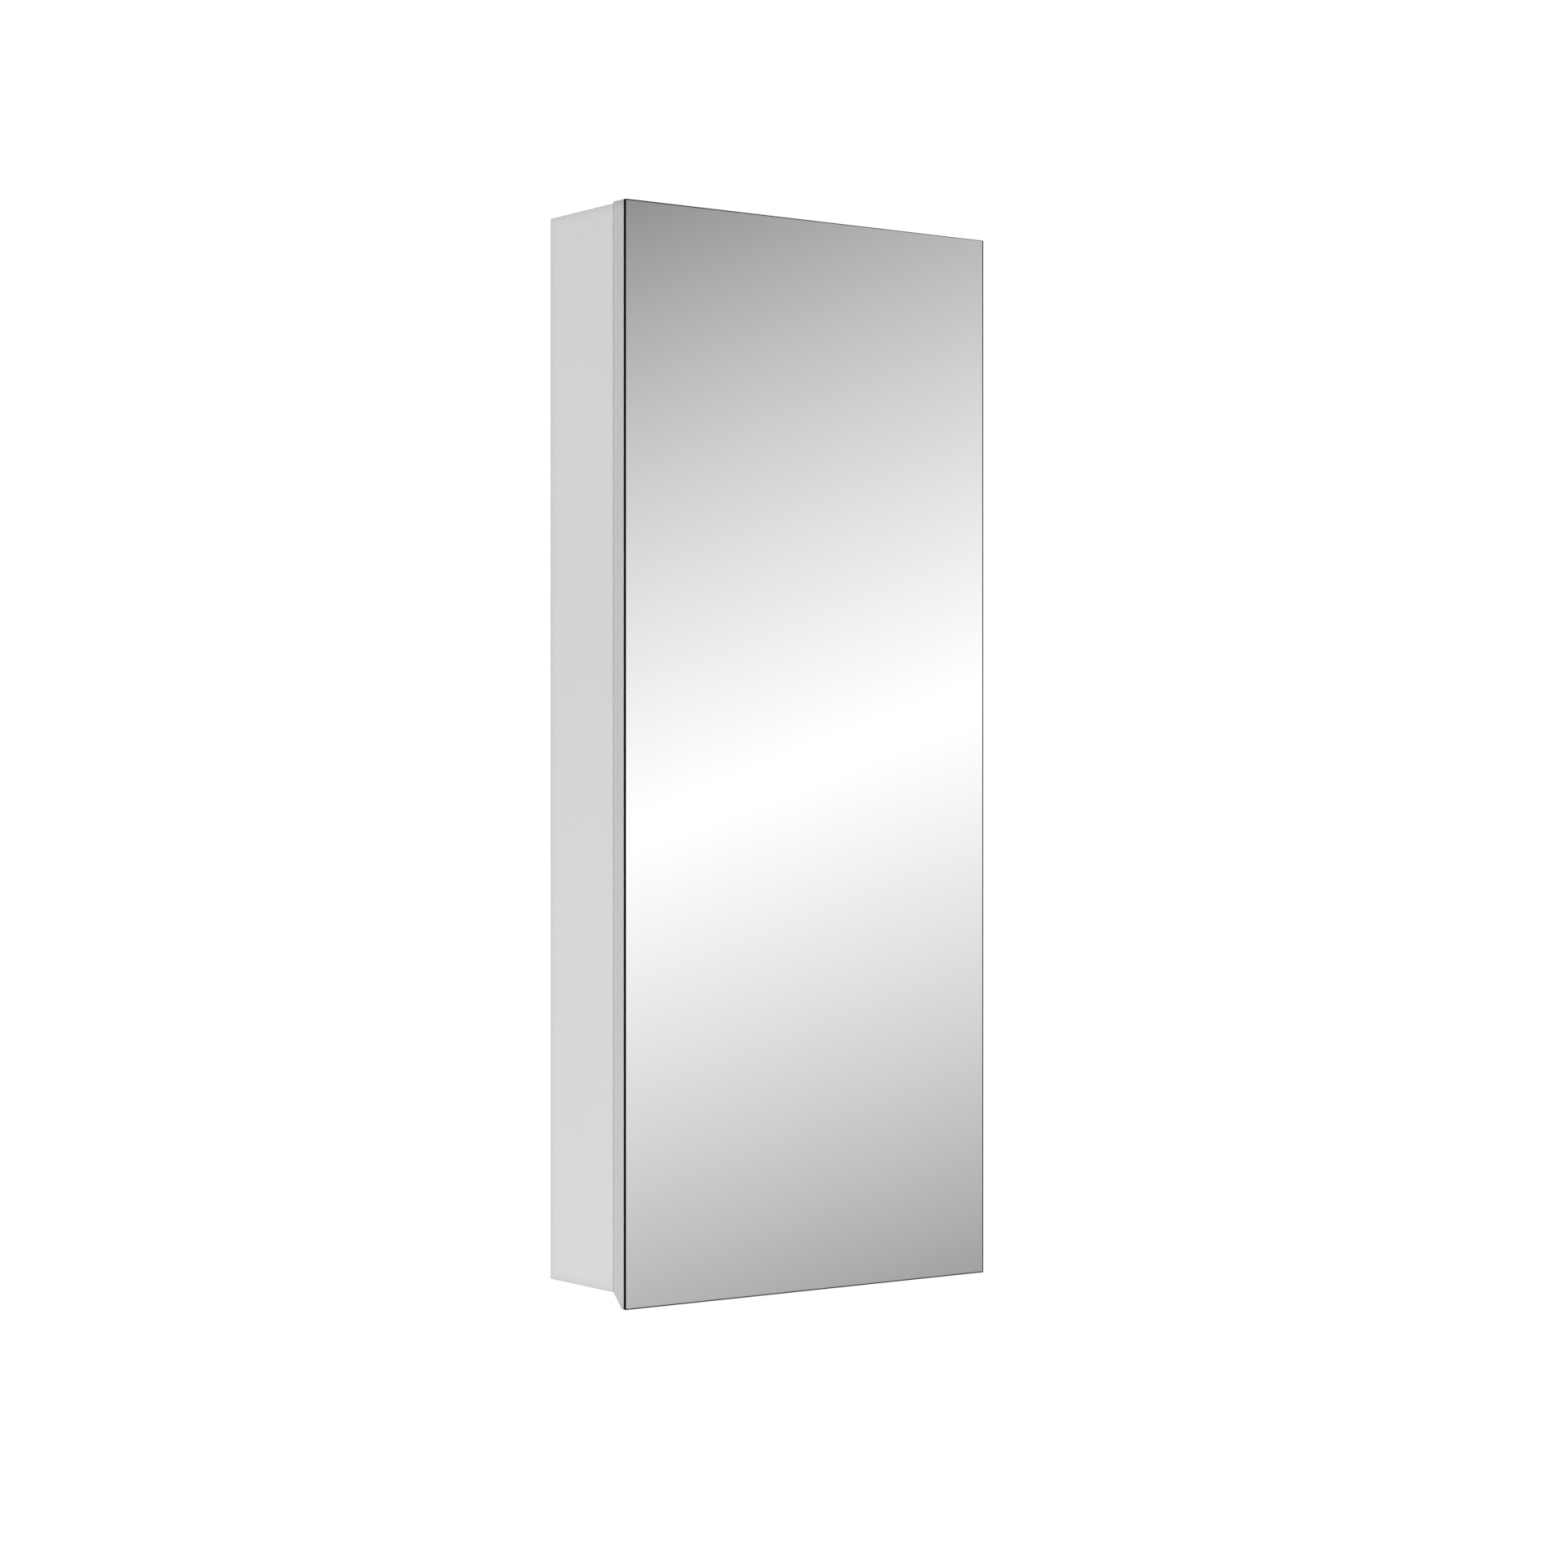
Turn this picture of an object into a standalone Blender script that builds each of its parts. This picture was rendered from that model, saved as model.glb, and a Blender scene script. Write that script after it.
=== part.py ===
"""Wall-hung medicine cabinet: a flat-pack board casing with glass shelves, and a full-height mirror
door hung on a pivot hinge at its right edge. Metres, +Z up. The origin is the centre of the back,
on the wall plane. +X is right and the door faces -Y."""

import math

import bmesh
import bpy
from mathutils import Matrix, Vector

# Casing
BODY_W = 0.379
BODY_H = 0.901
BODY_D = 0.097
BOARD_T = 0.016
FIT = 0.0003  # gap kept between pieces that touch
ARRIS = 0.0003  # rounding of a board's edges
CHAMFER = 0.0005  # on the ends of pins, pegs and bumpers
BACK_T = 0.005
RABBET = 0.008
RAIL_H = 0.060
RAIL_HOLE_R = 0.0045
RAIL_HOLE_X = 0.120

# Door
DOOR_GAP = 0.0006
DOOR_OVER_TOP = 0.0015
DOOR_BELOW = 0.0125
GLASS_T = 0.003
GRIP_LIP = 0.003  # flat lip left in front of the bevelled finger grip

# Pivot hinge
PIVOT_IN = 0.003  # axis to the door's outer edge
PIVOT_BACK = 0.0095  # axis to the door's rear face
PIN_R = 0.0016
PIN_SHORT = 0.003  # the pin's tip to the block's inner end
RIVET_R = 0.0012
NOSE_R = 0.0028
PLATE_T = 0.0015
PLATE_LENGTH = 0.047
PLATE_INNER_X = 0.160
NOTCH_W = 0.0075
BLOCK_H = 0.0146
WASHER_T = 0.0008
BLOCK_SETBACK = {"bottom": 0.0011, "top": 0.0001}  # the block's face to the casing's end

# Shelves on movable pins
SHELF_T = 0.005
HOLE_STEP = 0.032
SHELF_STEPS = 7
SHELF_COUNT = 3
SHELF_FRONT = -0.090
SHELF_BACK = -0.007
SHELF_SIDE_GAP = 0.0015
PEG_R = 0.0025
PEG_HEAD_R = 0.0035
PEG_DEPTH = 0.0085
PEG_REACH = 0.008
PEG_YS = {"rear": -0.025, "front": -0.072}

# Cam fittings
CAM_R = 0.0075
CAM_T = 0.012
CAM_INSET = 0.024
CAM_SPARE = 0.0005  # room below a cam in its pocket
CAM_HOLLOW_BEHIND = 0.002  # how far the hollow runs past the cam's axis
CAM_HOLLOW_W = 0.008
CAM_HOLLOW_H = 0.0072
CAM_YS = {"rear": -0.028, "front": -0.072}
BOLT_R = 0.003
BOLT_NECK_R = 0.0018
BOLT_BITE = 0.0113
BOLT_COLLAR = 0.003  # full thickness left outside the side panel
BOLT_TO_HEAD = 0.031
BOLT_HEAD_T = 0.004
BOLT_TAPER = 0.001

# Catches and bumpers on the free side
CATCH_R = 0.004
CATCH_L = 0.0116
CATCH_Z = 0.300
STRIKE_R = 0.006
STRIKE_T = 0.0015
BUMPER_R = 0.004
BUMPER_HEAD_T = 0.0014
BUMPER_DOME = 0.0008
BUMPER_STEM_R = 0.002
BUMPER_STEM_L = 0.006
BUMPER_Z = 0.410

# Wood screws
SCREW_HEAD_R = 0.0032
SCREW_R = 0.0015
SCREW_L = 0.0125
SCREW_RIM_T = 0.0002
SCREW_TIP_L = 0.003
PILOT_SPARE = 0.0008  # room past a screw's tip
PLATE_SCREW_X = 0.1675
PLATE_SCREW_YS = {"rear": -0.060, "front": -0.086}
BLOCK_SCREW_IN = 0.004

HALF_W = BODY_W / 2
HALF_H = BODY_H / 2
INNER_X = HALF_W - BOARD_T
INNER_Z = HALF_H - BOARD_T
DOOR_TOP = HALF_H + DOOR_OVER_TOP
DOOR_BOTTOM = -HALF_H - DOOR_BELOW
DOOR_REAR = -BODY_D - DOOR_GAP
GLASS_FRONT = DOOR_REAR - BOARD_T - GLASS_T
GLASS_REAR = GLASS_FRONT + GLASS_T
BOARD_FRONT = GLASS_REAR + FIT
PIVOT_X = HALF_W - PIVOT_IN
PIVOT_Y = DOOR_REAR - PIVOT_BACK
NOTCH_X = HALF_W - NOTCH_W
EDGE_X = HALF_W - BOARD_T / 2
SIDES = {"left": -1, "right": 1}
ENDS = {"bottom": -1, "top": 1}
PAST = 0.001  # how far a cutter runs past the face it enters by


def clear_scene():
    for obj in list(bpy.data.objects):
        bpy.data.objects.remove(obj)


def collection(name):
    made = bpy.data.collections.new(name)
    bpy.context.scene.collection.children.link(made)
    return made


def material(name, colour, roughness, metallic=0.0):
    made = bpy.data.materials.new(name)
    made.use_nodes = True
    shader = made.node_tree.nodes["Principled BSDF"]
    shader.inputs["Base Color"].default_value = (*colour, 1.0)
    shader.inputs["Roughness"].default_value = roughness
    shader.inputs["Metallic"].default_value = metallic
    return made


def new_object(name, shape, place=(0, 0, 0), parent=None, looks=None):
    """Link a mesh as a part at a world place, under a parent that isn't turned."""
    mesh = bpy.data.meshes.new(name)
    shape.to_mesh(mesh)
    shape.free()
    obj = bpy.data.objects.new(name, mesh)
    obj.location = Vector(place)
    if parent:
        obj.parent = parent
        obj.location -= parent.location
    if looks:
        mesh.materials.append(looks)
        PARTS.objects.link(obj)
    else:
        obj.hide_render = True
        obj.display_type = "WIRE"
        CUTTERS.objects.link(obj)
    return obj


def box(name, low, high, parent=None, looks=None, arris=0.0):
    low = Vector(low)
    high = Vector(high)
    shape = bmesh.new()
    bmesh.ops.create_cube(shape, size=1.0, matrix=Matrix.Diagonal((*(high - low), 1)))
    obj = new_object(name, shape, (low + high) / 2, parent, looks)
    if arris:
        soften(obj, arris)
    return obj


def soften(obj, width):
    bevel = obj.modifiers.new("arris", "BEVEL")
    bevel.width = width
    bevel.segments = 2
    bevel.limit_method = "ANGLE"


def along(axis):
    """The turn that lays +Z along an axis."""
    return Vector((0, 0, 1)).rotation_difference(Vector(axis)).to_matrix().to_4x4()


def facets(radius):
    """Sides of a round shape: fewer on pins, pegs and screws."""
    return 12 if radius < 0.0037 else 24


def rods(name, pieces, axis, parent=None, looks=None):
    """Cylinders or cones in one mesh. Each is (start, length, radius at start, radius at end)."""
    shape = bmesh.new()
    for start, length, start_r, end_r in pieces:
        middle = Vector(start) + Vector(axis) * length / 2
        bmesh.ops.create_cone(
            shape,
            cap_ends=True,
            segments=facets(max(start_r, end_r)),
            radius1=start_r,
            radius2=end_r,
            depth=length,
            matrix=Matrix.Translation(middle) @ along(axis),
        )
    return new_object(name, shape, (0, 0, 0), parent, looks)


def turned(name, profile, place, axis, looks, parent=None):
    """Turn a profile of (radius, height), listed down its outer side, about an axis through place."""
    shape = bmesh.new()
    ring = [shape.verts.new((radius, 0, height)) for radius, height in profile]
    for upper, lower in zip(ring, ring[1:]):
        shape.edges.new((upper, lower))
    obj = new_object(name, shape, place, parent, looks)
    obj.rotation_mode = "QUATERNION"
    obj.rotation_quaternion = along(axis).to_quaternion()
    screw = obj.modifiers.new("turn", "SCREW")
    screw.steps = screw.render_steps = facets(max(radius for radius, _ in profile))
    screw.use_merge_vertices = True
    screw.merge_threshold = 0.00001
    return obj


def slab(name, points, thickness, turn, place, looks, parent=None):
    """Extrude a flat outline to a closed mesh, turned and set at a place."""
    flat = bpy.data.curves.new(name, "CURVE")
    flat.dimensions = "2D"
    flat.fill_mode = "BOTH"
    flat.extrude = thickness / 2
    spline = flat.splines.new("POLY")
    spline.points.add(len(points) - 1)
    for point, (x, y) in zip(spline.points, points):
        point.co = (x, y, 0, 1)
    spline.use_cyclic_u = True
    guide = bpy.data.objects.new(name + "_outline", flat)
    CUTTERS.objects.link(guide)
    graph = bpy.context.evaluated_depsgraph_get()
    mesh = bpy.data.meshes.new_from_object(guide.evaluated_get(graph))
    shape = bmesh.new()
    shape.from_mesh(mesh)
    bmesh.ops.remove_doubles(shape, verts=shape.verts, dist=0.000001)
    bmesh.ops.recalc_face_normals(shape, faces=shape.faces)
    shape.transform(turn)
    bpy.data.objects.remove(guide)
    return new_object(name, shape, place, parent, looks)


def cut(target, cutter):
    hole = target.modifiers.new(cutter.name, "BOOLEAN")
    hole.operation = "DIFFERENCE"
    hole.object = cutter


def drill(target, name, pieces, axis):
    cut(target, rods(name, pieces, axis))


def straight(start, length, radius):
    """A rod of one radius."""
    return (start, length, radius, radius)


def casing_panels():
    """Four boards with a rabbet at the rear for the thin back panel."""
    panels = {}
    for side, sign in SIDES.items():
        low = (min(sign * INNER_X, sign * HALF_W), -BODY_D, -HALF_H)
        high = (max(sign * INNER_X, sign * HALF_W), 0, HALF_H)
        panels[side] = box(f"side_panel_{side}", low, high, None, WHITE_BOARD, ARRIS)
    for end, sign in ENDS.items():
        low = (-INNER_X + FIT, -BODY_D, min(sign * INNER_Z, sign * HALF_H))
        high = (INNER_X - FIT, 0, max(sign * INNER_Z, sign * HALF_H))
        panels[end] = box(f"{end}_panel", low, high, None, WHITE_BOARD, ARRIS)
    reach = (INNER_X + RABBET, INNER_Z + RABBET)
    low = (-reach[0], -BACK_T - FIT, -reach[1])
    rabbet = box("rabbet", low, (reach[0], PAST, reach[1]))
    for panel in panels.values():
        cut(panel, rabbet)
    return panels


def back_and_rail():
    """The back panel in its rabbets, and the rail in front of it that the wall screws pass through."""
    x = INNER_X + RABBET - FIT
    z = INNER_Z + RABBET - FIT
    back = box("back_panel", (-x, -BACK_T, -z), (x, 0, z), None, HARDBOARD)
    rail_x = INNER_X - FIT
    rail_top = INNER_Z - FIT
    rail_rear = -BACK_T - FIT
    rail = box(
        "hanging_rail",
        (-rail_x, rail_rear - BOARD_T, rail_top - RAIL_H),
        (rail_x, rail_rear, rail_top),
        None,
        WHITE_BOARD,
        ARRIS,
    )
    middle = rail_top - RAIL_H / 2
    run = 2 * PAST + BOARD_T + BACK_T + FIT
    starts = [(sign * RAIL_HOLE_X, PAST, middle) for sign in SIDES.values()]
    holes = rods("wall_screw_holes", [straight(s, run, RAIL_HOLE_R) for s in starts], (0, -1, 0))
    cut(back, holes)
    cut(rail, holes)


def cam_fittings(panels):
    """Cams in the outer faces of the top and bottom panels draw in bolts screwed to the sides."""
    cam_x = INNER_X - FIT - CAM_INSET
    axis_z = HALF_H - BOARD_T / 2
    for end, end_sign in ENDS.items():
        outside = end_sign * (HALF_H + PAST)
        starts = [(sign * cam_x, y, outside) for sign in SIDES.values() for y in CAM_YS.values()]
        pieces = [straight(start, CAM_T + CAM_SPARE + PAST, CAM_R + FIT) for start in starts]
        drill(panels[end], f"cam_pockets_{end}", pieces, (0, 0, -end_sign))
    for side, sign in SIDES.items():
        for end, end_sign in ENDS.items():
            z = end_sign * axis_z
            mouths = [(sign * (INNER_X + PAST), y, z) for y in CAM_YS.values()]
            inward = [straight(mouth, CAM_INSET + PAST, BOLT_R + FIT) for mouth in mouths]
            drill(panels[end], f"bolt_bores_{end}_{side}", inward, (-sign, 0, 0))
            seats = [(sign * (INNER_X - PAST), y, z) for y in CAM_YS.values()]
            outward = [straight(seat, BOLT_BITE + 2 * PAST, BOLT_R + FIT) for seat in seats]
            drill(panels[side], f"bolt_seats_{end}_{side}", outward, (sign, 0, 0))
            for row, y in CAM_YS.items():
                where = f"{end}_{side}_{row}"
                cam_lock(where, Vector((sign * cam_x, y, z)), sign, end_sign)
                cam_bolt(where, Vector((sign * (INNER_X + BOLT_BITE), y, z)), sign)


def cam_lock(where, centre, sign, end_sign):
    """A zinc cam, hollow on the side where the bolt head enters."""
    start = (centre.x, centre.y, end_sign * (HALF_H - FIT))
    cam = rods(f"cam_lock_{where}", [straight(start, CAM_T, CAM_R)], (0, 0, -end_sign), None, ZINC)
    ends = sorted((centre.x - sign * CAM_HOLLOW_BEHIND, centre.x + sign * (CAM_R + PAST)))
    low = (ends[0], centre.y - CAM_HOLLOW_W / 2, centre.z - CAM_HOLLOW_H / 2)
    high = (ends[1], centre.y + CAM_HOLLOW_W / 2, centre.z + CAM_HOLLOW_H / 2)
    cut(cam, box(f"cam_hollow_{where}", low, high))


def cam_bolt(where, start, sign):
    """Thread in the side panel, then a neck, then the head that the cam grips."""
    shank = BOLT_BITE + BOLT_COLLAR
    profile = (
        (0, 0),
        (BOLT_R, 0),
        (BOLT_R, -shank),
        (BOLT_NECK_R, -shank - BOLT_TAPER),
        (BOLT_NECK_R, -BOLT_TO_HEAD),
        (BOLT_R, -BOLT_TO_HEAD - BOLT_TAPER),
        (BOLT_R, -BOLT_TO_HEAD - BOLT_HEAD_T),
        (0, -BOLT_TO_HEAD - BOLT_HEAD_T),
    )
    turned(f"cam_bolt_{where}", profile, start, (sign, 0, 0), STEEL)


def shelves(panels):
    """Glass shelves lying loose on four pegs each, with spare peg holes above and below."""
    tops = [(index - SHELF_COUNT // 2) * SHELF_STEPS * HOLE_STEP for index in range(SHELF_COUNT)]
    peg_drop = SHELF_T + FIT + PEG_HEAD_R
    for side, sign in SIDES.items():
        steps = [-HOLE_STEP, 0, HOLE_STEP]
        starts = [
            (sign * (INNER_X - PAST), y, top - peg_drop + step)
            for top in tops
            for step in steps
            for y in PEG_YS.values()
        ]
        pieces = [straight(start, PEG_DEPTH + FIT + PAST, PEG_R + FIT) for start in starts]
        drill(panels[side], f"peg_holes_{side}", pieces, (sign, 0, 0))
    x = INNER_X - SHELF_SIDE_GAP
    for number, top in enumerate(tops, 1):
        low = (-x, SHELF_FRONT, top - SHELF_T)
        box(f"glass_shelf_{number}", low, (x, SHELF_BACK, top), None, GLASS, ARRIS)
        for side, sign in SIDES.items():
            for row, y in PEG_YS.items():
                profile = (
                    (0, PEG_DEPTH),
                    (PEG_R, PEG_DEPTH),
                    (PEG_R, -FIT),
                    (PEG_HEAD_R, -FIT),
                    (PEG_HEAD_R, -PEG_REACH + CHAMFER),
                    (PEG_HEAD_R - CHAMFER, -PEG_REACH),
                    (0, -PEG_REACH),
                )
                place = (sign * INNER_X, y, top - peg_drop)
                turned(f"shelf_peg_{number}_{side}_{row}", profile, place, (sign, 0, 0), NICKEL)


def door_board(pivot):
    """The board behind the glass. Its lower rear edge is bevelled as a finger grip."""
    outline = (
        (BOARD_FRONT, DOOR_BOTTOM),
        (GLASS_REAR + GRIP_LIP, DOOR_BOTTOM),
        (DOOR_REAR, -HALF_H),
        (DOOR_REAR, DOOR_TOP),
        (BOARD_FRONT, DOOR_TOP),
    )
    upright = Matrix(((0, 0, 1, 0), (1, 0, 0, 0), (0, 1, 0, 0), (0, 0, 0, 1)))
    board = slab("door_board", outline, BODY_W, upright, (0, 0, 0), GREY_BOARD, pivot)
    soften(board, ARRIS)
    for end, sign in ENDS.items():
        inner = sign * (HALF_H - BLOCK_SETBACK[end] - BLOCK_H - FIT)
        outer = sign * (HALF_H + 2 * DOOR_BELOW)
        low = (NOTCH_X, GLASS_FRONT, min(inner, outer))
        high = (HALF_W + PAST, DOOR_REAR + PAST, max(inner, outer))
        cut(board, box(f"hinge_notch_{end}", low, high))
    return board


def door_glass(pivot):
    low = (-HALF_W, GLASS_FRONT, DOOR_BOTTOM)
    box("mirror_glass", low, (HALF_W, GLASS_REAR, DOOR_TOP), pivot, MIRROR, ARRIS)


def hinge(panels, board, pivot):
    """A screwed plate with a riveted pin at each end of the casing, and a bored block in the door."""
    nose = [(PIVOT_X + NOSE_R * math.cos(a), PIVOT_Y - NOSE_R * math.sin(a)) for a in arc_angles()]
    plate_rear = -BODY_D + PLATE_LENGTH
    outline = [
        (PLATE_INNER_X, plate_rear),
        (PLATE_INNER_X, -BODY_D),
        (PIVOT_X - NOSE_R, -BODY_D),
        *nose,
        (PIVOT_X + NOSE_R, plate_rear),
    ]
    for end, sign in ENDS.items():
        outer = sign * (HALF_H + FIT + PLATE_T)
        middle = (0, 0, sign * (HALF_H + FIT + PLATE_T / 2))
        plate = slab(f"hinge_plate_{end}", outline, PLATE_T, Matrix(), middle, STEEL)
        inward = (0, 0, -sign)
        top = (PIVOT_X, PIVOT_Y, outer)
        rivet_hole = straight(above(top, sign), PLATE_T + 2 * PAST, RIVET_R + FIT)
        drill(plate, f"rivet_hole_{end}", [rivet_hole], inward)
        pin_end = -PLATE_T - FIT - BLOCK_SETBACK[end] - BLOCK_H + PIN_SHORT
        profile = (
            (0, 0),
            (RIVET_R, 0),
            (RIVET_R, -PLATE_T - FIT),
            (PIN_R, -PLATE_T - FIT),
            (PIN_R, pin_end + CHAMFER),
            (PIN_R - CHAMFER, pin_end),
            (0, pin_end),
        )
        turned(f"hinge_pin_{end}", profile, top, (0, 0, sign), STEEL)
        plate_screws(panels[end], plate, end, sign, outer)
        hinge_block(board, pivot, end, sign, sign * (HALF_H - BLOCK_SETBACK[end]))
    foot = (PIVOT_X, PIVOT_Y, -HALF_H)
    washer = rods("thrust_washer", [straight(foot, WASHER_T, NOSE_R)], (0, 0, 1), None, NYLON)
    bore = straight(above(foot, -1), WASHER_T + 2 * PAST, PIN_R + FIT)
    drill(washer, "washer_bore", [bore], (0, 0, 1))


def arc_angles():
    """Half a turn, from the nose's left side round its front to its right side."""
    steps = 8
    return [math.pi - math.pi * step / steps for step in range(steps + 1)]


def above(point, sign):
    """A point moved outward by the cutter's run past the face."""
    return (point[0], point[1], point[2] + sign * PAST)


def plate_screws(panel, plate, end, sign, outer):
    cones = []
    pilots = []
    for row, y in PLATE_SCREW_YS.items():
        head = (PLATE_SCREW_X, y, outer)
        wood_screw(f"plate_screw_{end}_{row}", head, (0, 0, sign))
        cones.append(countersink(head, (0, 0, -sign), PLATE_T + FIT))
        pilots.append(straight(above(head, sign), SCREW_L + PAST + PILOT_SPARE, SCREW_R + FIT))
    drill(plate, f"plate_countersinks_{end}", cones, (0, 0, -sign))
    drill(plate, f"plate_screw_holes_{end}", pilots, (0, 0, -sign))
    drill(panel, f"plate_pilots_{end}", pilots, (0, 0, -sign))


def countersink(head, inward, depth):
    """A cone that clears a screw's head, started outside the face."""
    slope = (SCREW_HEAD_R - SCREW_R) / depth
    start = Vector(head) - Vector(inward) * PAST
    return (start, depth + PAST, SCREW_HEAD_R + FIT + slope * PAST, SCREW_R + FIT)


def wood_screw(name, head, outward, parent=None):
    head_t = PLATE_T + FIT
    profile = (
        (0, 0),
        (SCREW_HEAD_R, 0),
        (SCREW_HEAD_R, -SCREW_RIM_T),
        (SCREW_R, -head_t),
        (SCREW_R, -SCREW_L + SCREW_TIP_L),
        (0, -SCREW_L),
    )
    turned(name, profile, head, outward, STEEL, parent)


def hinge_block(board, pivot, end, sign, outer):
    """A zinc block that fills the door's notch and turns on the pin, held by one screw."""
    inner = outer - sign * BLOCK_H
    low = (NOTCH_X + FIT, BOARD_FRONT, min(inner, outer))
    high = (HALF_W, DOOR_REAR, max(inner, outer))
    block = box(f"hinge_block_{end}", low, high, pivot, ZINC, ARRIS)
    bore = straight((PIVOT_X, PIVOT_Y, outer + sign * PAST), BLOCK_H + 2 * PAST, PIN_R + FIT)
    drill(block, f"block_bore_{end}", [bore], (0, 0, -sign))
    head = (HALF_W, DOOR_REAR - BLOCK_SCREW_IN, (inner + outer) / 2)
    wood_screw(f"block_screw_{end}", head, (1, 0, 0), pivot)
    cone = countersink(head, (-1, 0, 0), PLATE_T + FIT)
    drill(block, f"block_countersink_{end}", [cone], (-1, 0, 0))
    hole = straight((HALF_W + PAST, head[1], head[2]), SCREW_L + PAST + PILOT_SPARE, SCREW_R + FIT)
    drill(block, f"block_screw_hole_{end}", [hole], (-1, 0, 0))
    drill(board, f"block_pilot_{end}", [hole], (-1, 0, 0))


def free_side_fittings(panels, board, pivot):
    """Push-in magnets in the left side's front edge, with steel discs and soft bumpers in the door."""
    depth = CATCH_L + 2 * FIT
    mouths = [(-EDGE_X, -BODY_D - PAST, sign * CATCH_Z) for sign in ENDS.values()]
    seats = [straight(mouth, depth + PAST, CATCH_R + FIT) for mouth in mouths]
    drill(panels["left"], "catch_seats", seats, (0, 1, 0))
    for end, sign in ENDS.items():
        start = (-EDGE_X, -BODY_D + FIT, sign * CATCH_Z)
        rods(f"magnet_catch_{end}", [straight(start, CATCH_L, CATCH_R)], (0, 1, 0), None, NYLON)
        face = (-EDGE_X, DOOR_REAR - FIT, sign * CATCH_Z)
        rods(f"strike_disc_{end}", [straight(face, STRIKE_T, STRIKE_R)], (0, -1, 0), pivot, STEEL)
        mouth = (-EDGE_X, DOOR_REAR + PAST, sign * CATCH_Z)
        pocket = straight(mouth, PAST + STRIKE_T + 2 * FIT, STRIKE_R + FIT)
        drill(board, f"strike_pocket_{end}", [pocket], (0, -1, 0))
        bumper(board, pivot, end, sign * BUMPER_Z)


def bumper(board, pivot, end, z):
    """A clear stop with a stem pushed into the door, its head standing in the door gap."""
    face = -BODY_D - FIT
    profile = (
        (0, 0),
        (BUMPER_R - BUMPER_DOME, 0),
        (BUMPER_R, -CHAMFER),
        (BUMPER_R, -BUMPER_HEAD_T),
        (BUMPER_STEM_R, -BUMPER_HEAD_T),
        (BUMPER_STEM_R, -BUMPER_STEM_L),
        (0, -BUMPER_STEM_L),
    )
    turned(f"bumper_{end}", profile, (-EDGE_X, face, z), (0, 1, 0), CLEAR, pivot)
    mouth = (-EDGE_X, face + PAST, z)
    seat = straight(mouth, PAST + BUMPER_HEAD_T + FIT, BUMPER_R + FIT)
    hole = straight(mouth, PAST + BUMPER_STEM_L + FIT, BUMPER_STEM_R + FIT)
    drill(board, f"bumper_seat_{end}", [seat], (0, -1, 0))
    drill(board, f"bumper_hole_{end}", [hole], (0, -1, 0))


def shade_round():
    for obj in PARTS.objects:
        if obj.type != "MESH":
            continue
        obj.data.shade_smooth()
        obj.data.set_sharp_from_angle(angle=math.radians(30))


clear_scene()
PARTS = collection("medicine_cabinet")
CUTTERS = collection("cutters")
WHITE_BOARD = material("white_board", (0.66, 0.66, 0.65), 0.45)
GREY_BOARD = material("grey_board", (0.54, 0.54, 0.53), 0.5)
HARDBOARD = material("white_hardboard", (0.62, 0.62, 0.61), 0.6)
MIRROR = material("silvered_glass", (0.9, 0.9, 0.9), 0.02, 1.0)
GLASS = material("shelf_glass", (0.75, 0.85, 0.82), 0.05)
ZINC = material("zinc", (0.55, 0.56, 0.57), 0.4, 1.0)
STEEL = material("zinc_plated_steel", (0.62, 0.62, 0.62), 0.3, 1.0)
NICKEL = material("nickel_plated_steel", (0.68, 0.66, 0.62), 0.2, 1.0)
NYLON = material("white_nylon", (0.75, 0.75, 0.73), 0.5)
CLEAR = material("clear_polyurethane", (0.8, 0.8, 0.8), 0.3)

door_pivot = bpy.data.objects.new("door_pivot", None)
door_pivot.location = (PIVOT_X, PIVOT_Y, 0)
PARTS.objects.link(door_pivot)

casing = casing_panels()
back_and_rail()
cam_fittings(casing)
shelves(casing)
door = door_board(door_pivot)
door_glass(door_pivot)
hinge(casing, door, door_pivot)
free_side_fittings(casing, door, door_pivot)
shade_round()
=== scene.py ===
import math

import bmesh
import bpy
from mathutils import Matrix, Vector


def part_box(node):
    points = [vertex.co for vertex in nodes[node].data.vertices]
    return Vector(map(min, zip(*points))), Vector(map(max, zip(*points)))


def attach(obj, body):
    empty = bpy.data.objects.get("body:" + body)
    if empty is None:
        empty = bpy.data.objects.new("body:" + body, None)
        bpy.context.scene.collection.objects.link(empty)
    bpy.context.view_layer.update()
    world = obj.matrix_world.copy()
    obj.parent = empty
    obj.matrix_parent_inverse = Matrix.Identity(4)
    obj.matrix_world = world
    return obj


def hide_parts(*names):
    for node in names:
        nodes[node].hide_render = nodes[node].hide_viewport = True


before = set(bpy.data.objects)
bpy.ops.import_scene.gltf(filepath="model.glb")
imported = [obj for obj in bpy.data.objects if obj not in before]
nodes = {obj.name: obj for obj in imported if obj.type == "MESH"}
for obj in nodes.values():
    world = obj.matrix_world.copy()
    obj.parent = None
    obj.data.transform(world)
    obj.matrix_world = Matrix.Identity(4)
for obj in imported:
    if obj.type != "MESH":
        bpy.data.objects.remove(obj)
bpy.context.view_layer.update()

bpy.ops.object.select_all(action="DESELECT")

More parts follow.
